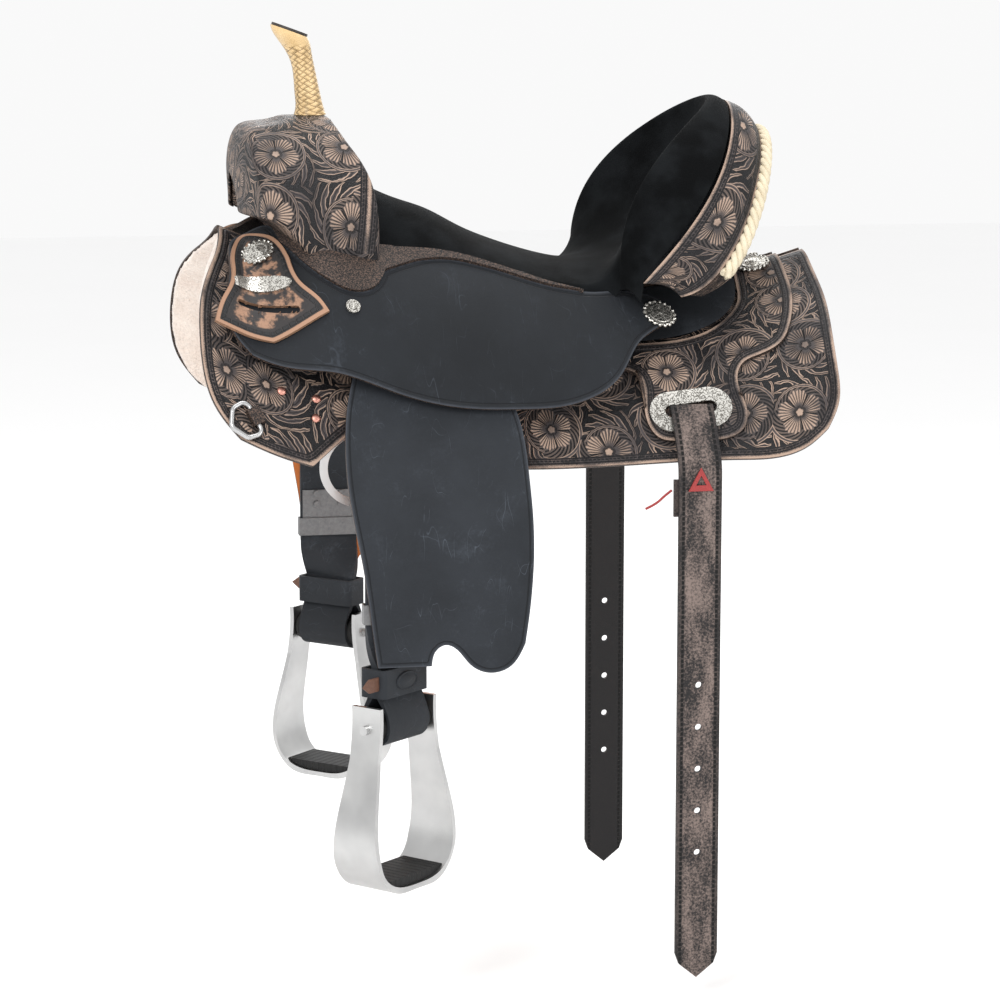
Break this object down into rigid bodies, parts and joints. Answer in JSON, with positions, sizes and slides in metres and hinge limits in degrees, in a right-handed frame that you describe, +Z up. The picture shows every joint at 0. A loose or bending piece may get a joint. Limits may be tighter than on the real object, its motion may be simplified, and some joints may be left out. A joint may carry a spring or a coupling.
{
  "type": "western saddle",
  "caption": "Western barrel saddle with tooled skirts, padded seat, high cantle, roping style horn, fenders, stirrups and flank billets.",
  "frame": {"origin": "lowest point of the underside's ridge line, on the centre plane, where the saddle rests on the back", "axes": "+X to the cantle, -X to the horn and the horse's head, -Y the near (left) side, +Z up"},
  "size_m": [0.6657, 0.6038, 0.9815],
  "materials": {
    "fleece": "dense cropped wool fleece",
    "tooled_leather": "floral tooled leather, antiqued black with rubbed tan highlights",
    "tree_wood": "rawhide covered wood of the saddle tree",
    "silver": "engraved silver plated hardware",
    "nubuck_leather": "charcoal oiled nubuck, lightly scuffed",
    "copper": "copper rivet heads",
    "foam": "closed cell seat foam",
    "suede": "black suede",
    "rope_fibre": "twisted ivory rope",
    "steel": "polished and brushed stainless steel",
    "rawhide": "varnished braided rawhide",
    "cap_leather": "black leather disc",
    "tread_rubber": "ribbed black rubber",
    "billet_leather": "black leather with rubbed taupe grain and stitched edges",
    "red_lace": "red latigo lace"
  },
  "bodies": {
    "saddle": {"fleece_near": "fleece", "fleece_off": "fleece", "skirt_near": "tooled_leather", "skirt_off": "tooled_leather", "rear_jockey_near": "tooled_leather", "rear_jockey_off": "tooled_leather", "cantle_back": "tooled_leather", "cantle_band": "tooled_leather", "fork_cover": "tooled_leather", "latigo_keeper_near": "tooled_leather", "latigo_keeper_off": "tooled_leather", "dee_chapes": "tooled_leather", "tree_bar_near": "tree_wood", "tree_bar_off": "tree_wood", "fork_core": "tree_wood", "cantle_core": "tree_wood", "ground_seat": "tree_wood", "flank_plate_near": "silver", "flank_plate_off": "silver", "keeper_plates": "silver", "conchos": "silver", "seat_screws": "silver", "seat_jockey_near": "nubuck_leather", "seat_jockey_off": "nubuck_leather", "rigging_chapes": "nubuck_leather", "copper_rivets": "copper", "seat_foam": "foam", "seat_cover": "suede", "cantle_rope": "rope_fibre", "horn_core": "steel", "horn_wrap": "rawhide", "horn_cap": "cap_leather"},
    "fender_near": {"fender_near": "nubuck_leather", "stirrup_leather_near": "nubuck_leather", "hobble_strap_near": "nubuck_leather", "buckle_plate_near": "steel"},
    "sleeve_near": {"buckle_sleeve_near": "steel"},
    "stirrup_near": {"stirrup_near": "steel", "stirrup_roller_near": "tread_rubber", "stirrup_bolt_near": "steel", "stirrup_tread_near": "tread_rubber"},
    "billet_near": {"flank_billet_near": "billet_leather", "billet_lace_near": "red_lace", "lace_tail_near": "red_lace"},
    "rigging_ring_near": {"rigging_ring_near": "steel"},
    "breast_dee_near": {"breast_dee_near": "steel"},
    "fender_off": {"fender_off": "nubuck_leather", "stirrup_leather_off": "nubuck_leather", "hobble_strap_off": "nubuck_leather", "buckle_plate_off": "steel"},
    "sleeve_off": {"buckle_sleeve_off": "steel"},
    "stirrup_off": {"stirrup_off": "steel", "stirrup_roller_off": "tread_rubber", "stirrup_bolt_off": "steel", "stirrup_tread_off": "tread_rubber"},
    "billet_off": {"flank_billet_off": "billet_leather", "billet_lace_off": "red_lace", "lace_tail_off": "red_lace"},
    "rigging_ring_off": {"rigging_ring_off": "steel"},
    "breast_dee_off": {"breast_dee_off": "steel"}
  },
  "joints": [
    {"name": "fender_swing_near", "type": "hinge", "parent": "saddle", "child": "fender_near", "pos_m": [-0.19, -0.17876, -0.02], "axis": [0, -0.8829, 0.4695], "range_deg": [-9, 9]},
    {"name": "buckle_slide_near", "type": "slide", "parent": "fender_near", "child": "sleeve_near", "axis": [0, 0, 1], "range_m": [0, 0.01]},
    {"name": "stirrup_swing_near", "type": "hinge", "parent": "fender_near", "child": "stirrup_near", "pos_m": [-0.212, -0.23735, -0.388], "axis": [0.7314, 0.682, 0], "range_deg": [-45, 45]},
    {"name": "billet_swing_near", "type": "hinge", "parent": "saddle", "child": "billet_near", "pos_m": [0.10486, -0.18517, -0.08465], "axis": [-1, 0, 0], "range_deg": [0, 70]},
    {"name": "ring_swing_near", "type": "hinge", "parent": "saddle", "child": "rigging_ring_near", "pos_m": [-0.239, -0.1855, -0.1], "axis": [1, 0, 0], "range_deg": [0, 25]},
    {"name": "dee_flip_near", "type": "hinge", "parent": "saddle", "child": "breast_dee_near", "pos_m": [-0.3465, -0.2105, -0.078], "axis": [-0.4162, 0.3715, 0.8299], "range_deg": [0, 100]},
    {"name": "fender_swing_off", "type": "hinge", "parent": "saddle", "child": "fender_off", "pos_m": [-0.19, 0.17876, -0.02], "axis": [0, -0.8829, -0.4695], "range_deg": [-9, 9]},
    {"name": "buckle_slide_off", "type": "slide", "parent": "fender_off", "child": "sleeve_off", "axis": [0, 0, 1], "range_m": [0, 0.01]},
    {"name": "stirrup_swing_off", "type": "hinge", "parent": "fender_off", "child": "stirrup_off", "pos_m": [-0.212, 0.23735, -0.388], "axis": [-0.7314, 0.682, 0], "range_deg": [-45, 45]},
    {"name": "billet_swing_off", "type": "hinge", "parent": "saddle", "child": "billet_off", "pos_m": [0.10486, 0.18517, -0.08465], "axis": [1, 0, 0], "range_deg": [0, 70]},
    {"name": "ring_swing_off", "type": "hinge", "parent": "saddle", "child": "rigging_ring_off", "pos_m": [-0.239, 0.1855, -0.1], "axis": [-1, 0, 0], "range_deg": [0, 25]},
    {"name": "dee_flip_off", "type": "hinge", "parent": "saddle", "child": "breast_dee_off", "pos_m": [-0.3465, 0.2105, -0.078], "axis": [0.4162, 0.3715, -0.8299], "range_deg": [0, 100]}
  ]
}
